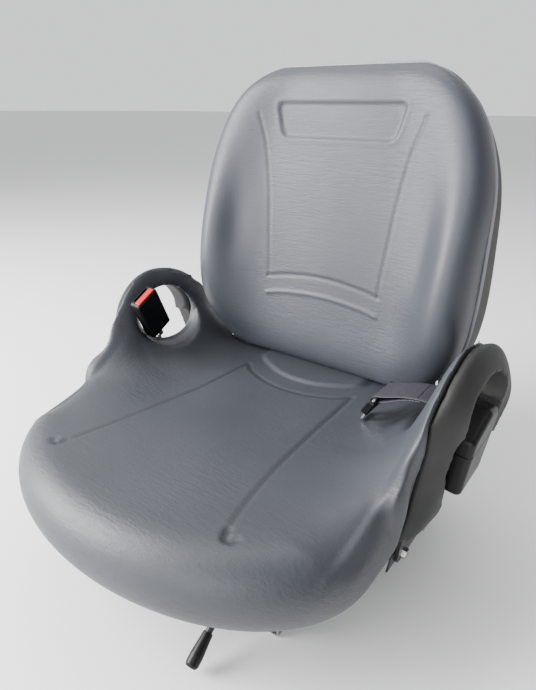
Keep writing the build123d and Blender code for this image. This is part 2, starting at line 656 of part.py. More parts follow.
# Webbing: from the spool up through the window, round the tongue bar and back on itself
belt_start = seam.from_local_coords((WEB_Y, spool_high, spool_out - SPOOL_R))
belt_top = seam.from_local_coords((WEB_Y, 152, spool_out - SPOOL_R))
bar_x = 146.2
bar_gap = 8.0
belt_points = [
    (belt_start.X, belt_start.Z), (belt_top.X, belt_top.Z), (240, 225), (235, 230), (227, 233), (212, 233.5),
    (160, 225.5), (bar_x, 224), (bar_x, 224 - bar_gap), (160, 218.8), (204, 229.2),
]
belt_section = bent_sheet(belt_points, WEB_THICK, 1.5 * WEB_THICK)
belt = Pos(0, WEB_Y, 0) * extrude(Plane.XZ * belt_section, WEB_WIDTH / 2, both=True)
save("belt_webbing", belt)

# Latch tongue: a steel plate that hangs in the loop, half covered with a moulded grip
tongue_lean = Vector(0.472, 0, 0.881)
bar_half = 1.8
tongue_origin = (bar_x + WEB_THICK + 2.1, WEB_Y, 224.5 - bar_gap / 2)
tongue_plane = Plane(tongue_origin, x_dir=(0, 1, 0), z_dir=Vector(0, 1, 0).cross(tongue_lean))
blade_end = 47.0
tongue_face = Pos(0, -9) * RectangleRounded(62, 18 + 2 * bar_half, 4)
tongue_face += Pos(0, -blade_end / 2) * RectangleRounded(26, blade_end, 4)
tongue_face -= Pos(0, -bar_half - 4.5) * RectangleRounded(WEB_WIDTH + 3, 9, 2)
tongue_face -= Pos(0, -36) * RectangleRounded(13, 9, 2)
tongue = extrude(tongue_plane * tongue_face, TONGUE_SHEET / 2, both=True)
save("latch_tongue", tongue)
grip_face = Pos(0, -11.5) * RectangleRounded(66, 24, 5)
grip_face -= Pos(0, -1) * Rectangle(WEB_WIDTH + 5, 24)
tongue_grip = extrude(tongue_plane * grip_face, 4.5, both=True)
tongue_grip = fillet(tongue_grip.edges().filter_by(tongue_plane), 1.5) - tongue
save("tongue_cover", tongue_grip)

# Buckle on a bent steel stalk, bolted outside the left hip frame and standing in the window.
# It is drawn on the right and mirrored.
buckle_foot = Vector(214.1, 34.6, 227.9)
buckle_wide = Vector(0, 0.876, 0.482)
buckle_up = Vector(-0.1426, -0.4773, 0.8673)
buckle_plane = Plane(buckle_foot, x_dir=buckle_wide, z_dir=buckle_wide.cross(buckle_up))
eye_y = 62.0
eye_high = 106.0
eye_base = FRAME_SHEET + GLIDE_GAP
eye_sheet = 3.0
stalk_out = eye_base + STALK_R
stalk_path = FilletPolyline(
    seam.from_local_coords((eye_y - 1, eye_high + 13, stalk_out)),
    seam.from_local_coords((eye_y - 4, 141, stalk_out)),
    buckle_foot - 12 * buckle_up,
    buckle_foot + 14 * buckle_up,
    radius=9,
)
stalk = sweep(Plane(stalk_path @ 0, z_dir=stalk_path % 0) * Circle(STALK_R), path=stalk_path)
eye_face = Pos(eye_y, eye_high) * (Circle(12) + Pos(-1, 12) * Rectangle(14, 18))
stalk += extrude(seam * Pos(0, 0, eye_base) * eye_face, eye_sheet)
stalk -= seam * Pos(eye_y, eye_high, 0) * Cylinder(PIVOT_R + RUN_GAP, 60)
save("buckle_stalk", mirror(stalk, about=Plane.YZ))
buckle_spot = seam * Pos(eye_y, eye_high, eye_base + eye_sheet + GLIDE_GAP)
buckle_bolt = buckle_spot * bolt(2 * PIVOT_R, eye_base + eye_sheet + GLIDE_GAP, 6.4, 0)
save("buckle_bolt", mirror(buckle_bolt, about=Plane.YZ))
buckle_hole = seam * Pos(eye_y, eye_high, 0) * Cylinder(PIVOT_R, 8 * FRAME_SHEET)
save("hip_frame_left", mirror(hip_frame - buckle_hole, about=Plane.YZ))
save("hip_frame_right", hip_frame - anchor_hole)

housing = buckle_plane * Pos(0, BUCKLE_LENGTH / 2, 0) * Box(BUCKLE_WIDTH, BUCKLE_LENGTH, BUCKLE_THICK)
housing = fillet(housing.edges(), 4)
button_wide = BUCKLE_WIDTH - 8
button_thick = 9.0
button_deep = 14.0
button_place = Pos(0, BUCKLE_LENGTH, -3)
well = Box(button_wide + 2 * PIECE_GAP, 2 * (button_deep + BUTTON_TRAVEL + 1), button_thick + 2 * PIECE_GAP)
housing -= buckle_plane * button_place * well
housing -= buckle_plane * Pos(0, BUCKLE_LENGTH, 5) * Box(28, 50, 3.6)
housing -= stalk
save("buckle_cover", mirror(housing, about=Plane.YZ))
button = button_place * Pos(0, 1) * Box(
    button_wide, button_deep, button_thick, align=(Align.CENTER, Align.MAX, Align.CENTER)
)
button = fillet(button.edges(), 1)
save("buckle_button", mirror(buckle_plane * button, about=Plane.YZ))

# Slide lever: a plate with the lock tooth, on a pin under the pan, and a bent rod to the front
tooth_y = LEVER_Y - 32
lever_face = make_face(
    FilletPolyline(
        (LEVER_Y + 2, LEVER_Z - 8), (LEVER_Y + 2, LEVER_Z + 8), (LEVER_Y - 46, LEVER_Z + 5),
        (LEVER_Y - 52, LEVER_Z - 8), (tooth_y - 6, 25), (tooth_y + 6, 25), radius=2, close=True,
    )
)
lever_face += Pos(LEVER_Y, LEVER_Z) * Circle(10)
lever_face -= Pos(LEVER_Y, LEVER_Z) * Circle(LEVER_PIN_R + RUN_GAP)
lever = extrude(Plane.YZ.offset(LEVER_X - LEVER_SHEET / 2) * lever_face, LEVER_SHEET)
tooth_x = rail_x + notch_x
tooth_wide = half_rail - half_slot - RAIL_SHEET - 2
tooth_long = NOTCH_PITCH / 2 - 1.5
tooth_low = RAIL_HEIGHT + 0.6
tooth_lug = Box(tooth_x + tooth_wide / 2 - LEVER_X, tooth_long, 5, align=(Align.MIN, Align.CENTER, Align.MIN))
lever += Pos(LEVER_X, tooth_y, 25) * tooth_lug
tooth = Box(tooth_wide, tooth_long, 9, align=(Align.CENTER, Align.CENTER, Align.MIN))
lever += Pos(tooth_x, tooth_y, tooth_low) * tooth
rod_end = Vector(LEVER_X, -231, 16)
rod_bend = Vector(LEVER_X, -196, 43)
rod_path = FilletPolyline((LEVER_X, LEVER_Y - 43, LEVER_Z - 2), rod_bend, rod_end, radius=18)
lever += sweep(Plane(rod_path @ 0, z_dir=rod_path % 0) * Circle(ROD_R), path=rod_path)
save("slide_lever", lever)
grip_way = (rod_end - rod_bend).normalized()
grip_plane = Plane(rod_end + 5 * grip_way, x_dir=(1, 0, 0), z_dir=-grip_way)
grip_profile = Polyline((0, 0), (6, 0), (7.5, 3), (7.5, 12), (5.5, 36), (0, 36), close=True)
lever_grip = grip_plane * revolve(Plane.XZ * make_face(grip_profile), Axis.Z)
save("lever_grip", lever_grip - lever)

# Clevis and pin under the pan
clevis_low = LEVER_Z - 8
clevis_half = LEVER_SHEET / 2 + 5
clevis_ear = Pos(0, LEVER_Y, clevis_low) * Box(RAIL_SHEET, 26, pan_floor - clevis_low, align=standing)
clevis = Pos(LEVER_X - clevis_half, 0, 0) * clevis_ear + Pos(LEVER_X + clevis_half, 0, 0) * clevis_ear
clevis_roof = Box(2 * clevis_half + RAIL_SHEET, 40, RAIL_SHEET, align=hanging)
clevis += Pos(LEVER_X, LEVER_Y, pan_floor) * clevis_roof
pin_bore = Plane.YZ.offset(LEVER_X) * Pos(LEVER_Y, LEVER_Z)
clevis -= extrude(pin_bore * Circle(LEVER_PIN_R), 30, both=True)
save("lever_bracket", clevis)
save("lever_pin", extrude(pin_bore * Circle(LEVER_PIN_R), 10, both=True))
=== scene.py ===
import json
import math

import bpy
import bmesh
import numpy as np
from mathutils import Matrix, Vector


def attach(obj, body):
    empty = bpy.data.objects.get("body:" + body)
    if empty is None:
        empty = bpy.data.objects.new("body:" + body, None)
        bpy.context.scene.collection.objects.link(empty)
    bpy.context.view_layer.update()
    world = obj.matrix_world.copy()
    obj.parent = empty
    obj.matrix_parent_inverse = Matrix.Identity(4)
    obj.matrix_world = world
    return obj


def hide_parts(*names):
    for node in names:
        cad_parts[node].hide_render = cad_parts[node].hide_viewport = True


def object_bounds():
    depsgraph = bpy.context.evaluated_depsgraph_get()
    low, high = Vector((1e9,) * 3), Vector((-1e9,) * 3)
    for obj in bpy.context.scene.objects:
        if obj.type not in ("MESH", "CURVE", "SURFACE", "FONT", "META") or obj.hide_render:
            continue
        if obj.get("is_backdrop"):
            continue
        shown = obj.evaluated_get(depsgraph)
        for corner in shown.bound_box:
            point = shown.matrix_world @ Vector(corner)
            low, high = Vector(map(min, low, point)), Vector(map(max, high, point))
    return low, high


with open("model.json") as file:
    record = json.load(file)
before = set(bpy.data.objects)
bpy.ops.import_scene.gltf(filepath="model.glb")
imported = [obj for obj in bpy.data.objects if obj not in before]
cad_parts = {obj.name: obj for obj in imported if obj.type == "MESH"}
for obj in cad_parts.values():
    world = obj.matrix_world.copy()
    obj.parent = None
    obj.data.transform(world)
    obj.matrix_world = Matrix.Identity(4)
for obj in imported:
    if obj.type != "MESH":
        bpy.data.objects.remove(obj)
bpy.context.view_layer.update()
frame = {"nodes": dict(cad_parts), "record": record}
nodes = frame["nodes"]

# The photograph's camera: height of its frame in pixels, focal length in pixels, and where it stood
PHOTO_HEIGHT = 690
PHOTO_FOCAL = 545.7
CAMERA_AT = (0.3856, -0.4987, 0.5417)
CAMERA_TURN = math.radians(36.16)
CAMERA_DIP = math.radians(23.51)
CAMERA_ROLL = math.radians(0.54)
SENSOR = 36.0

# The backrest's own axes, in millimetres: foot of its front face and its tilt
BACK_Y = 140.0
BACK_Z = 190.0
BACK_TILT = math.radians(6.5)
BACK_HALF = 213.0
SEAM_DEPTH = 30.0

# The seam plane between the vinyl and the right hip shell, which the left one mirrors
SEAM_X = 219.0
SEAM_Z = 67.0
SEAM_FLARE = math.atan(0.11)

# Lips beside a sewn channel: how many widths away, and their share of its depth
LIP_AWAY = 2.1
LIP_SHARE = 0.08

# Finishes: reach of the slow colour change, shade of the vinyl in a sewn line and in the painted shadow under
# the back panel's upper edge, the painted highlight on the belt's ribs, and the pebbles of the vinyl's grain
# in metres. Such pebbles are about 1 mm, drawn at 2.4 mm so that they show.
SHADE_SPREAD = 0.25
SEWN_AND_SHADOW_TONE = "#1f2123"
RIB_HIGHLIGHT = "#36323c"
PEBBLE = 0.0024


def linear(code):
    """A colour written as sRGB hex, as linear red, green, blue and alpha."""
    parts = [int(code[i:i + 2], 16) / 255 for i in (1, 3, 5)]
    return tuple(c / 12.92 if c <= 0.04045 else ((c + 0.055) / 1.055) ** 2.4 for c in parts) + (1.0,)


def add(tree, kind, sockets=None, **settings):
    """One node with its properties, and its inputs as values or as links."""
    node = tree.nodes.new(kind)
    for key, value in settings.items():
        setattr(node, key, value)
    for key, value in (sockets or {}).items():
        if isinstance(value, bpy.types.NodeSocket):
            tree.links.new(value, node.inputs[key])
        else:
            node.inputs[key].default_value = value
    return node


def new_finish(name, roughness, metallic=0.0):
    """A material with its shader, and the object coordinates that its patterns read."""
    material = bpy.data.materials.new(name)
    material.use_nodes = True
    tree = material.node_tree
    shader = tree.nodes["Principled BSDF"]
    shader.inputs["Roughness"].default_value = roughness
    shader.inputs["Metallic"].default_value = metallic
    return material, tree, shader, add(tree, "ShaderNodeTexCoord").outputs["Object"]


def shades(tree, place, colours, scale):
    """Slow change of colour over the surface, between two shades."""
    cloud = add(tree, "ShaderNodeTexNoise", {"Vector": place, "Scale": scale, "Detail": 4.0})
    ramp = add(tree, "ShaderNodeValToRGB", {"Fac": cloud.outputs["Fac"]})
    ramp.color_ramp.elements[0].position = 0.5 - SHADE_SPREAD
    ramp.color_ramp.elements[1].position = 0.5 + SHADE_SPREAD
    ramp.color_ramp.elements[0].color = linear(colours[0])
    ramp.color_ramp.elements[1].color = linear(colours[1])
    return ramp.outputs["Color"]


def vinyl_finish(name, colours, crease_scale):
    """Coated fabric with an embossed leather grain.

    It gives broad soft highlights, fine stretch lines in patches, darker sewn lines, and painted shadow where
    the mesh marks it.
    """
    material, tree, shader, place = new_finish(name, 0.4)
    colour = shades(tree, place, colours, 9.0)
    # Darker where the mesh marks a sewn line, and painted shadow under the back panel's upper edge
    sewn_and_shadow_mask = add(tree, "ShaderNodeAttribute", attribute_name="sewn_and_shadow").outputs["Fac"]
    mix = add(tree, "ShaderNodeMixRGB", {"Fac": sewn_and_shadow_mask, "Color1": colour, "Color2": linear(SEWN_AND_SHADOW_TONE)})
    tree.links.new(mix.outputs["Color"], shader.inputs["Base Color"])
    pebble = add(tree, "ShaderNodeTexVoronoi", {"Vector": place, "Scale": 1 / PEBBLE}, feature="SMOOTH_F1")
    stretch = add(tree, "ShaderNodeMapping", {"Vector": place, "Scale": crease_scale})
    crease = add(tree, "ShaderNodeTexNoise", {
        "Vector": stretch.outputs["Vector"], "Scale": 1.0, "Detail": 5.0, "Roughness": 0.62,
        "Distortion": 0.35})
    patch = add(tree, "ShaderNodeTexNoise", {"Vector": place, "Scale": 7.0, "Detail": 2.0})
    patchy = add(tree, "ShaderNodeMapRange", {
        "Value": patch.outputs["Fac"], "From Min": 0.4, "From Max": 0.62, "To Min": 0.25, "To Max": 1.0})
    lines = add(tree, "ShaderNodeMath", {0: crease.outputs["Fac"], 1: patchy.outputs["Result"]},
                operation="MULTIPLY")
    grain = add(tree, "ShaderNodeBump", {
        "Height": pebble.outputs["Distance"], "Strength": 0.12, "Distance": 0.0008})
    bump = add(tree, "ShaderNodeBump", {
        "Height": lines.outputs["Value"], "Strength": 0.42, "Distance": 0.0016,
        "Normal": grain.outputs["Normal"]})
    tree.links.new(bump.outputs["Normal"], shader.inputs["Normal"])
    sheen = add(tree, "ShaderNodeMapRange", {
        "Value": crease.outputs["Fac"], "To Min": 0.42, "To Max": 0.56})
    tree.links.new(sheen.outputs["Result"], shader.inputs["Roughness"])
    return material


def moulded_finish(name, colours, roughness, grit=0.0018, depth=0.0005, shine=0.5):
    """A fine even grit, as on moulded plastic and powder coat: matt, with a little cloud and rub."""
    material, tree, shader, place = new_finish(name, roughness)
    shader.inputs["Specular IOR Level"].default_value = shine
    tree.links.new(shades(tree, place, colours, 22.0), shader.inputs["Base Color"])
    speck = add(tree, "ShaderNodeTexNoise", {"Vector": place, "Scale": 1 / grit, "Detail": 3.0})
    bump = add(tree, "ShaderNodeBump", {
        "Height": speck.outputs["Fac"], "Strength": 0.25, "Distance": depth})
    tree.links.new(bump.outputs["Normal"], shader.inputs["Normal"])
    rub = add(tree, "ShaderNodeTexNoise", {"Vector": place, "Scale": 35.0, "Detail": 3.0})
    vary = add(tree, "ShaderNodeMapRange", {
        "Value": rub.outputs["Fac"], "To Min": roughness - 0.08, "To Max": roughness + 0.08})
    tree.links.new(vary.outputs["Result"], shader.inputs["Roughness"])
    return material


def metal_finish(name, colours, roughness, run):
    """Rolled or plated metal: a faint grain along the run of the sheet and cloudy plating."""
    material, tree, shader, place = new_finish(name, roughness, 1.0)
    tree.links.new(shades(tree, place, colours, 40.0), shader.inputs["Base Color"])
    along = add(tree, "ShaderNodeMapping", {"Vector": place, "Scale": run})
    brush = add(tree, "ShaderNodeTexNoise", {
        "Vector": along.outputs["Vector"], "Scale": 1.0, "Detail": 4.0})
    bump = add(tree, "ShaderNodeBump", {
        "Height": brush.outputs["Fac"], "Strength": 0.15, "Distance": 0.0003})
    tree.links.new(bump.outputs["Normal"], shader.inputs["Normal"])
    vary = add(tree, "ShaderNodeMapRange", {
        "Value": brush.outputs["Fac"], "To Min": roughness - 0.07, "To Max": roughness + 0.1})
    tree.links.new(vary.outputs["Result"], shader.inputs["Roughness"])
    return material


def webbing_finish(name, colours, rib):
    """Woven polyester belt: ribs along its length with a painted highlight on their crests, and a twill
    across them, matt.
    """
    material, tree, shader, place = new_finish(name, 0.55)
    across = add(tree, "ShaderNodeUVMap", uv_map="Strap").outputs["UV"]
    ribs = add(tree, "ShaderNodeTexWave", {"Vector": across, "Scale": 1 / rib / 6.283, "Distortion": 0.0},
               wave_type="BANDS", bands_direction="Y")
    weft = add(tree, "ShaderNodeTexWave", {"Vector": across, "Scale": 1 / rib / 4.0, "Distortion": 0.6},
               wave_type="BANDS", bands_direction="DIAGONAL")
    weave = add(tree, "ShaderNodeMath", {0: ribs.outputs["Fac"], 1: weft.outputs["Fac"]}, operation="ADD")
    shade = shades(tree, place, colours, 60.0)
    # Painted highlight: the ribs drawn paler where light catches their crests
    lit = add(tree, "ShaderNodeMixRGB", {
        "Fac": ribs.outputs["Fac"], "Color1": shade, "Color2": linear(RIB_HIGHLIGHT)})
    tree.links.new(lit.outputs["Color"], shader.inputs["Base Color"])
    bump = add(tree, "ShaderNodeBump", {
        "Height": weave.outputs["Value"], "Strength": 0.6, "Distance": 0.0005})
    tree.links.new(bump.outputs["Normal"], shader.inputs["Normal"])
    return material


# Satin vinyl, paler on the piping. Its stretch lines run across: on the seat about 4 mm apart and 17 mm long,
# on the back 2.4 mm and 22 mm.
seat_vinyl = vinyl_finish("Embossed grey PVC leather, seat", ("#303338", "#373a40"), (60.0, 260.0, 260.0))
back_vinyl = vinyl_finish("Embossed grey PVC leather, back", ("#33363d", "#3b3e45"), (45.0, 120.0, 420.0))
piping_vinyl = vinyl_finish("Grey PVC piping", ("#7b7e83", "#8a8d92"), (200.0, 200.0, 200.0))
# Plastics from dull to a soft gloss: shells and rear cover, black grips and housings, a red button
shell_plastic = moulded_finish("Moulded grey polypropylene", ("#252525", "#2d2d2c"), 0.55, shine=0.25)
cover_plastic = moulded_finish("Moulded dark grey ABS", ("#33312f", "#3c3a38"), 0.55, shine=0.3)
black_plastic = moulded_finish("Moulded black nylon", ("#070708", "#0b0b0c"), 0.4, 0.0022, 0.0003, 0.25)
red_plastic = moulded_finish("Red moulded acetal", ("#bb1512", "#c81d19"), 0.35, 0.003, 0.0001, 0.35)
# Cream coloured glides, and satin powder coat on the steel that is hardly seen
nylon_plastic = moulded_finish("Natural nylon", ("#c9c4b4", "#d8d3c4"), 0.5)
black_steel = moulded_finish("Black powder coated steel", ("#161617", "#1e1e20"), 0.42, 0.002, 0.0003)
# Plated steel, with the rolling grain of the rails 1.1 mm wide and 40 mm long
zinc_steel = metal_finish("Zinc plated steel", ("#9a9a98", "#adadab"), 0.36, (900.0, 25.0, 900.0))
bolt_steel = metal_finish("Zinc plated fasteners", ("#a3a29c", "#b5b4ae"), 0.33, (300.0, 300.0, 300.0))
bright_steel = metal_finish("Nickel plated steel", ("#c4c4c6", "#d3d3d5"), 0.36, (80.0, 500.0, 80.0))
# Dry pale wood behind the back cushion
plywood = moulded_finish("Bare birch plywood", ("#8a6c45", "#a3845a"), 0.6, 0.004, 0.0005)
# Belt with ribs 1.6 mm apart, and its thread
belt_weave = webbing_finish("Woven polyester webbing", ("#151319", "#1d1b22"), 0.0016)
thread = moulded_finish("Polyester sewing thread", ("#0f0e11", "#17151a"), 0.6)


def new_piece(name, mesh, material, body, slot, *replaced):
    """A finished piece: a mesh in place, its finish, the body it rides on and the nodes it stands for."""
    piece = bpy.data.objects.new(name, mesh)
    bpy.context.scene.collection.objects.link(piece)
    piece.data.materials.clear()
    piece.data.materials.append(material)
    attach(piece, body)
    if replaced:
        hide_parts(*replaced)
    return piece


def keep_largest(mesh):
    """Leaves only the largest connected part of a mesh, without the crumbs that a remesh can shed."""
    work = bmesh.new()
    work.from_mesh(mesh)
    unseen = set(work.verts)
    islands = []
    while unseen:
        island = [unseen.pop()]
        for vert in island:
            for edge in vert.link_edges:
                other = edge.other_vert(vert)
                if other in unseen:
                    unseen.remove(other)
                    island.append(other)
        islands.append(island)
    islands.sort(key=len)
    bmesh.ops.delete(work, geom=[vert for island in islands[:-1] for vert in island], context="VERTS")
    work.to_mesh(mesh)
    work.free()


def skinned(node, voxel, rounds):
    """A closed even skin over a CAD solid, with its edges rounded off."""
    mesh = nodes[node].data.copy()
    work = bmesh.new()
    work.from_mesh(mesh)
    bmesh.ops.remove_doubles(work, verts=work.verts, dist=1e-6)
    work.to_mesh(mesh)
    work.free()
    solid = bpy.data.objects.new("solid", mesh)
    bpy.context.scene.collection.objects.link(solid)
    skin = solid.modifiers.new("skin", "REMESH")
    skin.mode = "VOXEL"
    skin.voxel_size = voxel
    skin.use_smooth_shade = True
    ease = solid.modifiers.new("ease", "SMOOTH")
    ease.factor = 0.5
    ease.iterations = rounds
    result = bpy.data.meshes.new_from_object(solid.evaluated_get(bpy.context.evaluated_depsgraph_get()))
    bpy.data.objects.remove(solid)
    result.materials.clear()
    keep_largest(result)
    return result


def points_of(mesh):
    """Places in millimetres and normals of a mesh's points."""
    place = np.zeros(len(mesh.vertices) * 3, np.float32)
    mesh.vertices.foreach_get("co", place)
    normal = np.zeros(len(mesh.vertices) * 3, np.float32)
    mesh.vertex_normals.foreach_get("vector", normal)
    return place.reshape(-1, 3).astype(float) * 1000, normal.reshape(-1, 3).astype(float)


def put_points(mesh, place, sewn_and_shadow=None):
    """Writes moved points back, with how dark each is to be drawn: near a sewn line, and in painted shadow.
    """
    mesh.vertices.foreach_set("co", (place / 1000).astype(np.float32).ravel())
    if sewn_and_shadow is not None:
        mesh.attributes.new("sewn_and_shadow", "FLOAT", "POINT").data.foreach_set("value", sewn_and_shadow.astype(np.float32))
    mesh.update()


def flowing(points, steps=12):
    """A smooth line through points, as many short runs."""
    p = np.array(points, float)
    p = np.vstack([2 * p[0] - p[1], p, 2 * p[-1] - p[-2]])
    out = []
    for i in range(1, len(p) - 2):
        for t in np.linspace(0, 1, steps, endpoint=False):
            a, b, c, d = p[i - 1], p[i], p[i + 1], p[i + 2]
            out.append(0.5 * (2 * b + (c - a) * t + (2 * a - 5 * b + 4 * c - d) * t ** 2
                              + (3 * b - a - 3 * c + d) * t ** 3))
    return np.array(out + [p[-2]])


def away(where, line):
    """Distance of points from a line, and on which side of it they are."""
    near = np.full(len(where), 1e9)
    side = np.zeros(len(where))
    for a, b in zip(line[:-1], line[1:]):
        run = b - a
        t = np.clip(((where - a) @ run) / (run @ run), 0, 1)
        gap = where - a - t[:, None] * run
        d = np.hypot(gap[:, 0], gap[:, 1])
        closer = d < near
        near = np.where(closer, d, near)
        side = np.where(closer, np.sign(run[0] * gap[:, 1] - run[1] * gap[:, 0]), side)
    return near, side


def eased(mesh, place, mask, rounds):
    """Points drawn to the middle of their neighbours, as far as a mask lets each of them."""
    ends = np.zeros(len(mesh.edges) * 2, np.int32)
    mesh.edges.foreach_get("vertices", ends)
    a, b = ends.reshape(-1, 2).T
    count = np.bincount(ends, minlength=len(place))
    for _ in range(rounds):
        for i in range(3):
            total = np.bincount(a, place[b, i], len(place)) + np.bincount(b, place[a, i], len(place))
            place[:, i] += 0.5 * mask * (total / count - place[:, i])
    return place


def past_seam(place):
    """Distance of points beyond the nearer seam plane, and that plane's outward direction at each."""
    hand = np.sign(place[:, 0])
    out = np.stack([hand * math.cos(SEAM_FLARE), 0 * hand, 0 * hand - math.sin(SEAM_FLARE)], 1)
    start = np.stack([hand * SEAM_X, 0 * hand, 0 * hand + SEAM_Z], 1)
    return np.sum((place - start) * out, 1), out


def along_seam(normal, out):
    """The part of each normal that lies in its seam plane."""
    return normal - np.sum(normal * out, 1)[:, None] * out


def mirrored(line):
    """A line or spot on the other side of the seat."""
    return line * np.array([-1.0, 1.0])


def fade(value, low, high):
    """Goes smoothly from 0 at low to 1 at high."""
    t = np.clip((value - low) / (high - low), 0, 1)
    return t * t * (3 - 2 * t)


def bell(d, width, height):
    """A smooth swell: its full height at distance 0, nearly gone at twice its width."""
    return height * np.exp(-(d / width) ** 2)


def groove(d, width, depth):
    """A sewn channel: a dip with softly raised lips."""
    return bell(d - LIP_AWAY * width, width, LIP_SHARE * depth) - bell(d, width, depth)


# Skins: size of their cells in metres, and rounds of smoothing, first all over and then under a mask
SEAT_CELL = 0.0026
BACK_CELL = 0.0025
SHELL_CELL = 0.0022
CUSHION_FIRST_ROUNDS = 5
SHELL_FIRST_ROUNDS = 10
SEAT_ROUNDS = 17
BACK_ROUNDS = 15
SHELL_ROUNDS = 45
# Share of the rounding that is held back where the back stands over the seat, and the share left there
HELD_BACK = 0.95
LEAST_MOVE = 0.05

# In the shapes below, lengths are in millimetres, and a pair of limits is where a fade begins and ends.
# Seat cushion: sewn lines on its top, given as width and length from the seat's origin
SEAT_CHANNEL = [(90.5, 99), (92.5, 55), (94, 12), (98, -38), (103, -87), (110, -140), (118, -180),
                (124, -201), (129, -211)]
SEAT_HOOK = [(124, -201), (128, -210), (134, -211), (138, -207)]
OUTER_CRESCENT = [(-91, 103), (-74, 87), (-52, 76), (-27, 68.5), (0, 66), (27, 68.5), (52, 76), (74, 87),
                  (91, 103)]
INNER_CRESCENT = [(-91, 133), (-77, 121), (-53, 107), (-27, 97), (0, 94.5), (27, 97), (53, 107), (77, 121),
                  (91, 133)]
# Width and depth of each line's dip, and width and darkness of its shade
SEAT_CHANNEL_DIP = (2.7, 1.4)
SEAT_CHANNEL_SHADE = (2.2, 0.7)
SEAT_HOOK_DIP = (4.2, 2.2)
SEAT_HOOK_SHADE = (4.0, 0.6)
OUTER_CRESCENT_DIP = (2.7, 1.5)
OUTER_CRESCENT_SHADE = (2.2, 0.75)
INNER_CRESCENT_SHADE = (2.5, 0.35)
# The channels grow fainter towards the rear, and the lumbar roll rises behind the inner crescent
CHANNEL_FAINT = 0.75
CHANNEL_FADE = (-110, -60)
ROLL_RISE = 4.2
ROLL_EDGE = 7
ROLL_FROM = 90
ROLL_HALF = 95
ROLL_HALF_FULL = 80
# Upward faces take the sewn lines in full
TOP_FACES = (0.35, 0.75)

# The rear edge under the back, which keeps the form of the solid
REAR_EDGE = (125, 140)
REAR_EDGE_HALF = (195, 210)
# The skin runs evenly over the step behind the front roll and the fold at the foot of each wing: the stretch
# with its soft borders, and how many rounds before and after the corner is filled
EVEN_FROM = -182.0
EVEN_TO = -8.0
EVEN_RUN = 30
EVEN_HALF = 238.0
EVEN_SIDE = 18
EVEN_OVER = 132.0
EVEN_RISE = 15
EVEN_ROUNDS = 480
FILLED_ROUNDS = 160
# Foam in the corner where each wing rises from the front roll
WING_FOOT = (224.0, -107.0)
FILL_HALF = (24, 18)
FILL_HEIGHT = 5.0
FILL_FACES = (0.0, 0.4)
# How far the vinyl bulges over its seam with the shell, more so at the rear of the arch, and how far the
# shell draws in there
SEAM_BULGE = 3.4
BULGE_BAND = (-16, -5)
BULGE_OVER = (120, 150)
SEAM_CREST = 7.0
CREST_BAND = (-18, -7)
CREST_FROM = (80, 104)
CREST_TO = (165, 185)
CREST_OVER = (225, 250)
CREST_FACES = (0.0, 0.35)
SEAM_DRAW = 1.4
DRAW_BAND = (3, 14)
SHELL_SMOOTH_BAND = (4, 22)

seat_mesh = skinned("seat_cushion", SEAT_CELL, CUSHION_FIRST_ROUNDS)
p, _ = points_of(seat_mesh)
# Round everywhere but at the rear edge, where the backrest stands over it
rear = fade(p[:, 1], *REAR_EDGE)
p = eased(seat_mesh, p, 1 - HELD_BACK * rear * (1 - fade(np.abs(p[:, 0]), *REAR_EDGE_HALF)), SEAT_ROUNDS)
even = fade(p[:, 1], EVEN_FROM, EVEN_FROM + EVEN_RUN) * (1 - fade(p[:, 1], EVEN_TO - EVEN_RUN, EVEN_TO))
even *= (fade(p[:, 2], EVEN_OVER, EVEN_OVER + EVEN_RISE)
         * (1 - fade(np.abs(p[:, 0]), EVEN_HALF - EVEN_SIDE, EVEN_HALF)))
p = eased(seat_mesh, p, even, EVEN_ROUNDS)
put_points(seat_mesh, p)
p, n = points_of(seat_mesh)
fill = np.exp(-((np.abs(p[:, 0]) - WING_FOOT[0]) / FILL_HALF[0]) ** 2
              - ((p[:, 1] - WING_FOOT[1]) / FILL_HALF[1]) ** 2)
p[:, 2] += FILL_HEIGHT * fill * fade(n[:, 2], *FILL_FACES) * fade(p[:, 2], EVEN_OVER, EVEN_OVER + EVEN_RISE)
p = eased(seat_mesh, p, even, FILLED_ROUNDS)
put_points(seat_mesh, p)
p, n = points_of(seat_mesh)
beyond, out = past_seam(p)
rise = SEAM_BULGE * fade(beyond, *BULGE_BAND) * fade(p[:, 2], *BULGE_OVER)
crest = fade(p[:, 1], *CREST_FROM) * (1 - fade(p[:, 1], *CREST_TO)) * fade(p[:, 2], *CREST_OVER)
rise += SEAM_CREST * fade(beyond, *CREST_BAND) * crest * fade(n[:, 2], *CREST_FACES)
p += rise[:, None] * along_seam(n, out)
top = fade(n[:, 2], *TOP_FACES)
plan = p[:, :2]
sewn_and_shadow = np.zeros(len(p))
lift = np.zeros(len(p))
for hand in (np.array, mirrored):
    d, _ = away(plan, hand(flowing(SEAT_CHANNEL)))
    strength = fade(-plan[:, 1], *CHANNEL_FADE) * (1 - CHANNEL_FAINT) + CHANNEL_FAINT
    lift += groove(d, *SEAT_CHANNEL_DIP) * strength
    sewn_and_shadow = np.maximum(sewn_and_shadow, bell(d, *SEAT_CHANNEL_SHADE))
    d, _ = away(plan, hand(flowing(SEAT_HOOK)))
    lift -= bell(d, *SEAT_HOOK_DIP)
    sewn_and_shadow = np.maximum(sewn_and_shadow, bell(d, *SEAT_HOOK_SHADE))
d, _ = away(plan, flowing(OUTER_CRESCENT))
lift += groove(d, *OUTER_CRESCENT_DIP)
sewn_and_shadow = np.maximum(sewn_and_shadow, bell(d, *OUTER_CRESCENT_SHADE))
d, side = away(plan, flowing(INNER_CRESCENT))
wide = np.abs(plan[:, 0])
inside = (side > 0) & (wide < ROLL_HALF) & (plan[:, 1] > ROLL_FROM)
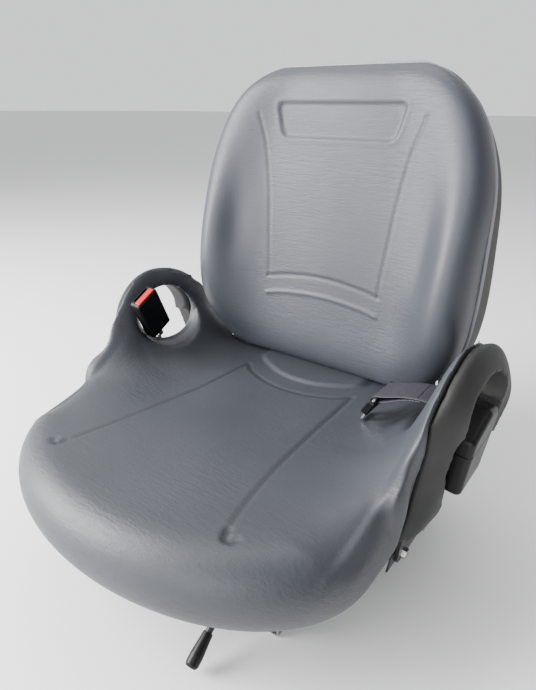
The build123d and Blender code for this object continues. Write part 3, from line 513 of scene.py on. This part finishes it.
lift += np.where(inside, ROLL_RISE * fade(d, 0, ROLL_EDGE), 0) * fade(-wide, -ROLL_HALF, -ROLL_HALF_FULL)
sewn_and_shadow = np.maximum(sewn_and_shadow, bell(d, *INNER_CRESCENT_SHADE))
p[:, 2] += lift * top
put_points(seat_mesh, p, sewn_and_shadow * top)
seat_skin = new_piece("seat_skin", seat_mesh, seat_vinyl, "seat", "grey_vinyl", "seat_cushion")

# Backrest: sewn lines on its face, given as width and height up the back
BACK_CHANNEL = [(124, 346), (115, 320), (109, 298), (102.5, 260), (98.5, 228), (96, 195), (92, 150),
                (90.5, 119)]
UPPER_ARCH = [(-92, 117.5), (-72, 122), (-50, 125.5), (-25, 128.4), (0, 129.3), (25, 128.4), (50, 125.5),
              (72, 122), (92, 117.5)]
LOWER_ARCH = [(-92, 91.5), (-72, 96), (-50, 99), (-25, 101.4), (0, 102.2), (25, 101.4), (50, 99), (72, 96),
              (92, 91.5)]
BACK_CHANNEL_DIP = (2.5, 0.9)
BACK_CHANNEL_SHADE = (2.0, 0.5)
UPPER_ARCH_DIP = (2.4, 1.2)
UPPER_ARCH_SHADE = (2.0, 0.75)
LOWER_ARCH_RIDGE = (2.4, 1.6)
# Forward faces take the sewn lines in full
FRONT_FACES = (0.25, 0.7)
# The foot of the back, which keeps the form of the solid
BACK_FOOT = (4, 24)
# The recessed panel near the top, with its lip and the painted shadow under its upper edge
PANEL_FOOT = 317.0
PANEL_TOP = 361.0
PANEL_FOOT_HALF = 84.5
PANEL_TOP_HALF = 96.0
PANEL_ROUND = 9.0
PANEL_DEPTH = 2.6
PANEL_SOFT = 2.2
PANEL_LIP_AT = 4.5
PANEL_LIP = (3.0, 0.4)
PANEL_SHADOW_AT = 0.5
PANEL_PAINTED_SHADOW = (1.8, 0.35)
PANEL_SHADOW_FROM = -8
PANEL_SHADOW_FULL = 12
# A shallow hollow in each side of the back
HOLLOW = (152.0, 191.0)
HOLLOW_HALF = (21, 70)
HOLLOW_DEPTH = 9.0


def back_axes(place):
    """Width and height up the back, of points in the seat's frame."""
    y = place[:, 1] - BACK_Y
    z = place[:, 2] - BACK_Z
    return place[:, 0], y * math.sin(BACK_TILT) + z * math.cos(BACK_TILT)


back_mesh = skinned("backrest_cushion", BACK_CELL, CUSHION_FIRST_ROUNDS)
p, _ = points_of(back_mesh)
# Round everywhere but at the foot, which stands over the seat cushion
p = eased(back_mesh, p, fade(back_axes(p)[1], *BACK_FOOT) * HELD_BACK + LEAST_MOVE, BACK_ROUNDS)
put_points(back_mesh, p)
p, n = points_of(back_mesh)
x, h = back_axes(p)
face = np.stack([x, h], 1)
facing = fade(-(n[:, 1] * math.cos(BACK_TILT) - n[:, 2] * math.sin(BACK_TILT)), *FRONT_FACES)
sewn_and_shadow = np.zeros(len(p))
push = np.zeros(len(p))
for hand in (np.array, mirrored):
    d, _ = away(face, hand(flowing(BACK_CHANNEL)))
    push += groove(d, *BACK_CHANNEL_DIP)
    sewn_and_shadow = np.maximum(sewn_and_shadow, bell(d, *BACK_CHANNEL_SHADE))
    spot = hand(np.array(HOLLOW))
    away_x = (face[:, 0] - spot[0]) / HOLLOW_HALF[0]
    away_h = (face[:, 1] - spot[1]) / HOLLOW_HALF[1]
    push -= HOLLOW_DEPTH * np.exp(-away_x ** 2 - away_h ** 2)
d, _ = away(face, flowing(UPPER_ARCH))
push += groove(d, *UPPER_ARCH_DIP)
sewn_and_shadow = np.maximum(sewn_and_shadow, bell(d, *UPPER_ARCH_SHADE))
d, _ = away(face, flowing(LOWER_ARCH))
push += bell(d, *LOWER_ARCH_RIDGE)

# Distance of each point outside the rounded outline of the panel
share = np.clip((h - PANEL_FOOT) / (PANEL_TOP - PANEL_FOOT), 0, 1)
half = PANEL_FOOT_HALF + (PANEL_TOP_HALF - PANEL_FOOT_HALF) * share
middle = (PANEL_FOOT + PANEL_TOP) / 2
over_x = np.abs(x) - half + PANEL_ROUND
over_h = np.abs(h - middle) - (PANEL_TOP - PANEL_FOOT) / 2 + PANEL_ROUND
corner = np.hypot(np.maximum(over_x, 0), np.maximum(over_h, 0))
rim = corner + np.minimum(np.maximum(over_x, over_h), 0) - PANEL_ROUND
push += bell(rim - PANEL_LIP_AT, *PANEL_LIP) - PANEL_DEPTH * fade(-rim, -PANEL_SOFT, PANEL_SOFT)
# Painted shadow: the vinyl just inside the panel's upper edge is drawn darker, where that edge shades the
# recess
panel_top_shadow = fade(h, middle + PANEL_SHADOW_FROM, middle + PANEL_SHADOW_FULL)
sewn_and_shadow = np.maximum(sewn_and_shadow, bell(rim + PANEL_SHADOW_AT, *PANEL_PAINTED_SHADOW) * panel_top_shadow)
forward = np.array([0, -math.cos(BACK_TILT), math.sin(BACK_TILT)])
p += (push * facing)[:, None] * forward
put_points(back_mesh, p, sewn_and_shadow * facing)
back_skin = new_piece("back_skin", back_mesh, back_vinyl, "backrest", "grey_vinyl", "backrest_cushion")

# Hip shells: the moulded arches with every edge rounded
for hand in ("left", "right"):
    shell_mesh = skinned(f"hip_shell_{hand}", SHELL_CELL, SHELL_FIRST_ROUNDS)
    p, n = points_of(shell_mesh)
    beyond, out = past_seam(p)
    p = eased(shell_mesh, p, 1 - fade(beyond, *SHELL_SMOOTH_BAND), SHELL_ROUNDS)
    sink = SEAM_DRAW * (1 - fade(beyond, *DRAW_BAND))
    put_points(shell_mesh, p - sink[:, None] * along_seam(n, out))
    new_piece(f"hip_arch_{hand}", shell_mesh, shell_plastic, "seat", "shell_plastic", f"hip_shell_{hand}")


def laid_line(points, closed):
    """A line of edges through points given in millimetres, for a node tree to follow."""
    mesh = bpy.data.meshes.new("line")
    count = len(points)
    edges = [(i, (i + 1) % count) for i in range(count if closed else count - 1)]
    mesh.from_pydata([tuple(c / 1000 for c in point) for point in points], edges, [])
    line = bpy.data.objects.new("line", mesh)
    bpy.context.scene.collection.objects.link(line)
    return line


def new_tree(name, numbers):
    """An empty node tree with a geometry input and output, a material input and named lengths."""
    tree = bpy.data.node_groups.new(name, "GeometryNodeTree")
    tree.interface.new_socket("Geometry", in_out="INPUT", socket_type="NodeSocketGeometry")
    tree.interface.new_socket("Geometry", in_out="OUTPUT", socket_type="NodeSocketGeometry")
    tree.interface.new_socket("Finish", in_out="INPUT", socket_type="NodeSocketMaterial")
    for number in numbers:
        tree.interface.new_socket(number, in_out="INPUT", socket_type="NodeSocketFloat")
    return tree, add(tree, "NodeGroupInput").outputs


def grown(line, tree, settings):
    """The mesh that a node tree makes along a line, with the line cleared away."""
    maker = line.modifiers.new("maker", "NODES")
    maker.node_group = tree
    for socket in tree.interface.items_tree:
        if socket.in_out == "INPUT" and socket.name in settings:
            maker[socket.identifier] = settings[socket.name]
    mesh = bpy.data.meshes.new_from_object(line.evaluated_get(bpy.context.evaluated_depsgraph_get()))
    bpy.data.objects.remove(line)
    return mesh


# Piping: a round welt that follows a line
welt_tree, welt_in = new_tree("Welt along a line", ["Radius"])
welt_path = add(welt_tree, "GeometryNodeMeshToCurve", {"Mesh": welt_in["Geometry"]})
welt_round = add(welt_tree, "GeometryNodeCurvePrimitiveCircle", {
    "Resolution": 12, "Radius": welt_in["Radius"]})
welt_tube = add(welt_tree, "GeometryNodeCurveToMesh", {
    "Curve": welt_path.outputs["Curve"], "Profile Curve": welt_round.outputs["Curve"]})
welt_smooth = add(welt_tree, "GeometryNodeSetShadeSmooth", {"Geometry": welt_tube.outputs["Mesh"]})
welt_done = add(welt_tree, "GeometryNodeSetMaterial", {
    "Geometry": welt_smooth.outputs["Geometry"], "Material": welt_in["Finish"]})
add(welt_tree, "NodeGroupOutput", {"Geometry": welt_done.outputs["Geometry"]})

# Stitches: short threads laid end to end along a line
stitch_tree, stitch_in = new_tree("Stitches along a line", ["Pitch", "Length", "Radius"])
stitch_path = add(stitch_tree, "GeometryNodeMeshToCurve", {"Mesh": stitch_in["Geometry"]})
stitch_spots = add(stitch_tree, "GeometryNodeCurveToPoints", {
    "Curve": stitch_path.outputs["Curve"], "Length": stitch_in["Pitch"]}, mode="LENGTH")
stitch_bead = add(stitch_tree, "GeometryNodeMeshUVSphere", {"Segments": 6, "Rings": 5, "Radius": 0.5})
stitch_size = add(stitch_tree, "ShaderNodeCombineXYZ", {
    "X": stitch_in["Radius"], "Y": stitch_in["Radius"], "Z": stitch_in["Length"]})
stitch_laid = add(stitch_tree, "GeometryNodeInstanceOnPoints", {
    "Points": stitch_spots.outputs["Points"], "Instance": stitch_bead.outputs["Mesh"],
    "Rotation": stitch_spots.outputs["Rotation"], "Scale": stitch_size.outputs["Vector"]})
stitch_real = add(stitch_tree, "GeometryNodeRealizeInstances", {"Geometry": stitch_laid.outputs["Instances"]})
stitch_smooth = add(stitch_tree, "GeometryNodeSetShadeSmooth", {"Geometry": stitch_real.outputs["Geometry"]})
stitch_done = add(stitch_tree, "GeometryNodeSetMaterial", {
    "Geometry": stitch_smooth.outputs["Geometry"], "Material": stitch_in["Finish"]})
add(stitch_tree, "NodeGroupOutput", {"Geometry": stitch_done.outputs["Geometry"]})

# The welt in the seam round the backrest: share of the half width at heights up the back
BACK_EDGE = [(-6, 0.62), (8, 0.76), (30, 0.88), (70, 0.975), (130, 1.0), (200, 0.995), (270, 0.975),
             (325, 0.90), (365, 0.79), (392, 0.64), (404, 0.53), (410, 0.45)]
WELT_R = 2.7
edge = flowing([(BACK_HALF * share, height) for height, share in BACK_EDGE], 6)
loop = np.vstack([edge, mirrored(edge)[::-1]])
welt_line = []
for wide, high in loop:
    at_y = BACK_Y + high * math.sin(BACK_TILT) + SEAM_DEPTH * math.cos(BACK_TILT)
    at_z = BACK_Z + high * math.cos(BACK_TILT) - SEAM_DEPTH * math.sin(BACK_TILT)
    welt_line.append((wide, at_y, at_z))
welt_mesh = grown(laid_line(welt_line, True), welt_tree, {"Finish": piping_vinyl, "Radius": WELT_R / 1000})
new_piece("back_welt", welt_mesh, piping_vinyl, "backrest", "piping_vinyl", "backrest_piping")

# Belt: one woven strap from the spool through the window, round the bar of the tongue and back on itself.
# Its route is given across the seat and up, through the middle of its thickness.
STRAP_HALF = 24.0
STRAP_THICK = 1.4
STRAP_Y = 68.0
STRAP_ROUTE = [(241.5, 193.2), (243.8, 214), (240.5, 226), (233, 232.6), (221, 236.2), (206, 237.2),
               (190, 235.2), (175, 231.4), (162, 226.9), (151.5, 224.1), (147.2, 222.6), (146.3, 220.2),
               (147.4, 217.6), (151.5, 217.0), (162, 220.4), (175, 226.6), (190, 232.6), (205, 235.4)]
ACROSS = np.linspace(-1, 1, 17)
# The strap thins at its two edges: by what share, and how sharply
EDGE_THIN = 0.55
EDGE_POWER = 10

strap_line = flowing(STRAP_ROUTE, 10)
strap_run = np.concatenate([[0], np.cumsum(np.hypot(*np.diff(strap_line, axis=0).T))])
strap_way = np.gradient(strap_line, axis=0)
strap_way /= np.hypot(strap_way[:, 0], strap_way[:, 1])[:, None]
strap_out = np.stack([strap_way[:, 1], -strap_way[:, 0]], 1)


def strap_point(run, across, lift):
    """A point on the strap, by its length along, share of the half width, and height over the middle."""
    at = [np.interp(run, strap_run, strap_line[:, i]) + lift * np.interp(run, strap_run, strap_out[:, i])
          for i in (0, 1)]
    return (at[0], STRAP_Y + STRAP_HALF * across, at[1])


strap_points = []
strap_uv = []
for lift, order in ((STRAP_THICK / 2, ACROSS), (-STRAP_THICK / 2, ACROSS[::-1])):
    for across in order:
        thin = lift * (1 - EDGE_THIN * across ** EDGE_POWER)
        strap_points.append([strap_point(run, across, thin) for run in strap_run])
        strap_uv.append([(run / 1000, across * STRAP_HALF / 1000) for run in strap_run])
rows = len(strap_points)
runs = len(strap_run)
flat_points = [tuple(c / 1000 for c in point) for row in strap_points for point in row]
flat_uv = [uv for row in strap_uv for uv in row]
quads = [(r * runs + i, (r + 1) % rows * runs + i, (r + 1) % rows * runs + i + 1, r * runs + i + 1)
         for r in range(rows) for i in range(runs - 1)]
ends = [tuple(r * runs for r in reversed(range(rows))), tuple(r * runs + runs - 1 for r in range(rows))]
strap_mesh = bpy.data.meshes.new("strap")
strap_mesh.from_pydata(flat_points, [], quads + ends)
strap_mesh.shade_smooth()
weave_map = strap_mesh.uv_layers.new(name="Strap")
for corner in strap_mesh.loops:
    weave_map.data[corner.index].uv = flat_uv[corner.vertex_index]
new_piece("belt_strap", strap_mesh, belt_weave, "seat", "webbing", "belt_webbing")

# The sewn box with its zigzag, where the two layers of the strap are joined
BOX_FROM = 48.0
BOX_TO = 78.0
BOX_SHARE = 0.78
ZIGZAG_POINTS = 9
STITCH_PITCH = 2.6
STITCH_LENGTH = 2.3
STITCH_RADIUS = 0.9
STITCH_LIFT = 0.25
STITCH_STEPS = 8
box_line = [(BOX_FROM, -BOX_SHARE), (BOX_TO, -BOX_SHARE), (BOX_TO, BOX_SHARE), (BOX_FROM, BOX_SHARE)]
zigzag = [(BOX_FROM if i % 2 else BOX_TO, BOX_SHARE * (2 * i / (ZIGZAG_POINTS - 1) - 1))
          for i in range(ZIGZAG_POINTS)]
for name, corners, closed in (("belt_box_stitches", box_line, True), ("belt_zigzag_stitches", zigzag, False)):
    route = [np.array(strap_point(run, across, STRAP_THICK / 2 + STITCH_LIFT)) for run, across in corners]
    lines = [tuple(a + (b - a) * t) for a, b in zip(route, route[1:] + route[:closed])
             for t in np.linspace(0, 1, STITCH_STEPS, endpoint=False)]
    sewn_mesh = grown(laid_line(lines, closed), stitch_tree, {
        "Finish": thread, "Pitch": STITCH_PITCH / 1000, "Length": STITCH_LENGTH / 1000,
        "Radius": STITCH_RADIUS / 1000})
    new_piece(name, sewn_mesh, thread, "seat", "webbing")

# CAD pieces that keep their own shape take the finish of their slot
finishes = {
    "zinc_steel": zinc_steel, "black_steel": black_steel, "bolt_steel": bolt_steel,
    "black_plastic": black_plastic, "cover_plastic": cover_plastic, "nylon": nylon_plastic,
    "webbing": belt_weave, "bright_steel": bright_steel, "red_plastic": red_plastic, "board": plywood,
    "piping_vinyl": piping_vinyl, "grey_vinyl": seat_vinyl, "shell_plastic": shell_plastic,
}
for part in frame["record"]["subparts"]:
    holder = nodes[part["node"]]
    holder.data.materials.clear()
    holder.data.materials.append(finishes[part["material_slot"]])


# Floor and light: half the floor's width in metres, and the heading from which the studio is dimmest
FLOOR_REACH = 60.0
DIM_SIDE = (0.75, -0.66, 0.0)


def big_panel(name, at, aim, size, power):
    """A large soft studio lamp."""
    lamp = bpy.data.lights.new(name, "AREA")
    lamp.shape = "RECTANGLE"
    lamp.size, lamp.size_y = size
    lamp.energy = power
    stand = bpy.data.objects.new(name, lamp)
    stand.location = at
    stand.rotation_euler = (Vector(aim) - Vector(at)).to_track_quat("-Z", "Y").to_euler()
    bpy.context.scene.collection.objects.link(stand)


world = bpy.data.worlds.new("Studio")
bpy.context.scene.world = world
world.use_nodes = True
world.node_tree.nodes["Background"].inputs["Color"].default_value = linear("#f4f5f7")
# Bright behind and to the left, dimmer from the front right, as a studio with its lamps on one side
heading = add(world.node_tree, "ShaderNodeTexCoord").outputs["Generated"]
towards = add(world.node_tree, "ShaderNodeVectorMath", {0: heading, 1: DIM_SIDE}, operation="DOT_PRODUCT")
glow = add(world.node_tree, "ShaderNodeMapRange", {
    "Value": towards.outputs["Value"], "From Min": -0.4, "From Max": 0.7, "To Min": 1.2, "To Max": 0.4})
world.node_tree.links.new(glow.outputs["Result"], world.node_tree.nodes["Background"].inputs["Strength"])
big_panel("key", at=(-1.8, -1.65, 1.15), aim=(0, 0, 0.3), size=(1.5, 1.5), power=205)
big_panel("crest", at=(-1.15, -0.95, 1.7), aim=(0, -0.1, 0.2), size=(0.9, 0.9), power=42)
big_panel("over", at=(-0.3, 0.5, 2.4), aim=(0, 0.1, 0.2), size=(1.8, 1.8), power=25)
big_panel("front", at=(0.5, -2.4, 1.0), aim=(0, 0, 0.3), size=(1.6, 1.2), power=40)

floor_mesh = bpy.data.meshes.new("floor")
floor_corners = [(x * FLOOR_REACH, y * FLOOR_REACH, 0) for x, y in ((-1, -1), (1, -1), (1, 1), (-1, 1))]
floor_mesh.from_pydata(floor_corners, [], [(0, 1, 2, 3)])
floor_plate = bpy.data.objects.new("floor", floor_mesh)
bpy.context.scene.collection.objects.link(floor_plate)
floor_finish, _, floor_shader, _ = new_finish("Pale studio floor", 0.9)
floor_shader.inputs["Base Color"].default_value = linear("#f1f1f1")
floor_mesh.materials.append(floor_finish)
floor_plate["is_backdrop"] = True

# Camera
ahead = Vector((-math.sin(CAMERA_TURN) * math.cos(CAMERA_DIP), math.cos(CAMERA_TURN) * math.cos(CAMERA_DIP),
                -math.sin(CAMERA_DIP)))
level = Vector((math.cos(CAMERA_TURN), math.sin(CAMERA_TURN), 0))
upright = level.cross(ahead)
right = level * math.cos(CAMERA_ROLL) + upright * math.sin(CAMERA_ROLL)
above = upright * math.cos(CAMERA_ROLL) - level * math.sin(CAMERA_ROLL)
lens = bpy.data.cameras.new("camera")
lens.sensor_width = SENSOR
lens.lens = PHOTO_FOCAL / PHOTO_HEIGHT * SENSOR
camera = bpy.data.objects.new("camera", lens)
camera.matrix_world = Matrix((
    (right.x, above.x, -ahead.x, CAMERA_AT[0]),
    (right.y, above.y, -ahead.y, CAMERA_AT[1]),
    (right.z, above.z, -ahead.z, CAMERA_AT[2]),
    (0, 0, 0, 1),
))
bpy.context.scene.collection.objects.link(camera)
bpy.context.scene.camera = camera

low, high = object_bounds()
